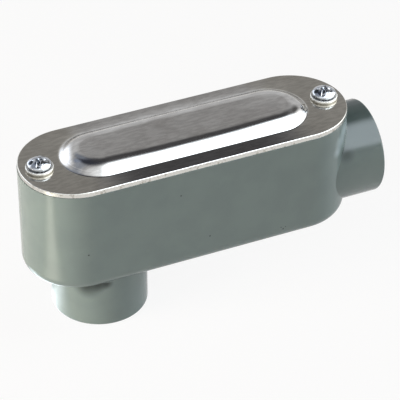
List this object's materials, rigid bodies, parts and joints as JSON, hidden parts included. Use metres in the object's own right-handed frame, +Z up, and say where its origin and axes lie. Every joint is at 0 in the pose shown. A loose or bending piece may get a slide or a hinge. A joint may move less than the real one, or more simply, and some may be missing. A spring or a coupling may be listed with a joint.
{
  "type": "conduit body",
  "caption": "Elbow conduit body: a long round-ended cast box with a threaded hub out of its back and another out of its end, closed by a domed cover on captive screws.",
  "frame": {"origin": "on the back hub's axis, where its tapped wall starts, 0.8 mm inside the hub's mouth", "axes": "+Z up through the box, from the back hub towards the cover; +X along the box, the way the end hub's conduit leaves"},
  "size_m": [0.13, 0.039, 0.0647],
  "materials": {
    "housing_paint": "die-cast aluminium under smooth grey-green powder coat, bare in the threads",
    "gasket_rubber": "flat black neoprene sheet",
    "cover_sheet": "bright rolled aluminium sheet, stamped",
    "washer_zinc": "bright zinc plate on steel",
    "screw_zinc": "bright zinc plate on steel"
  },
  "bodies": {
    "box": {"housing": "housing_paint", "cover_gasket": "gasket_rubber"},
    "lid": {"cover": "cover_sheet"},
    "left_washer_body": {"left_washer": "washer_zinc"},
    "left_screw_body": {"left_screw": "screw_zinc"},
    "right_washer_body": {"right_washer": "washer_zinc"},
    "right_screw_body": {"right_screw": "screw_zinc"}
  },
  "joints": [
    {"name": "cover_lift", "type": "slide", "parent": "box", "child": "lid", "axis": [0, 0, 1], "range_m": [0, 0.02]},
    {"name": "left_washer_rise", "type": "slide", "parent": "lid", "child": "left_washer_body", "axis": [0, 0, 1], "range_m": [0, 0.00595]},
    {"name": "left_screw_turn", "type": "hinge", "parent": "left_washer_body", "child": "left_screw_body", "pos_m": [-0.02005, 0, 0.0612], "axis": [0, 0, 1], "range_deg": [0, 2700]},
    {"name": "right_washer_rise", "type": "slide", "parent": "lid", "child": "right_washer_body", "axis": [0, 0, 1], "range_m": [0, 0.00595]},
    {"name": "right_screw_turn", "type": "hinge", "parent": "right_washer_body", "child": "right_screw_body", "pos_m": [0.08605, 0, 0.0612], "axis": [0, 0, 1], "range_deg": [0, 2700]}
  ],
  "couplings": [
    {"joint": "left_screw_turn", "follows": "left_washer_rise", "rad_per_m": 7915.8},
    {"joint": "right_screw_turn", "follows": "right_washer_rise", "rad_per_m": 7915.8}
  ]
}
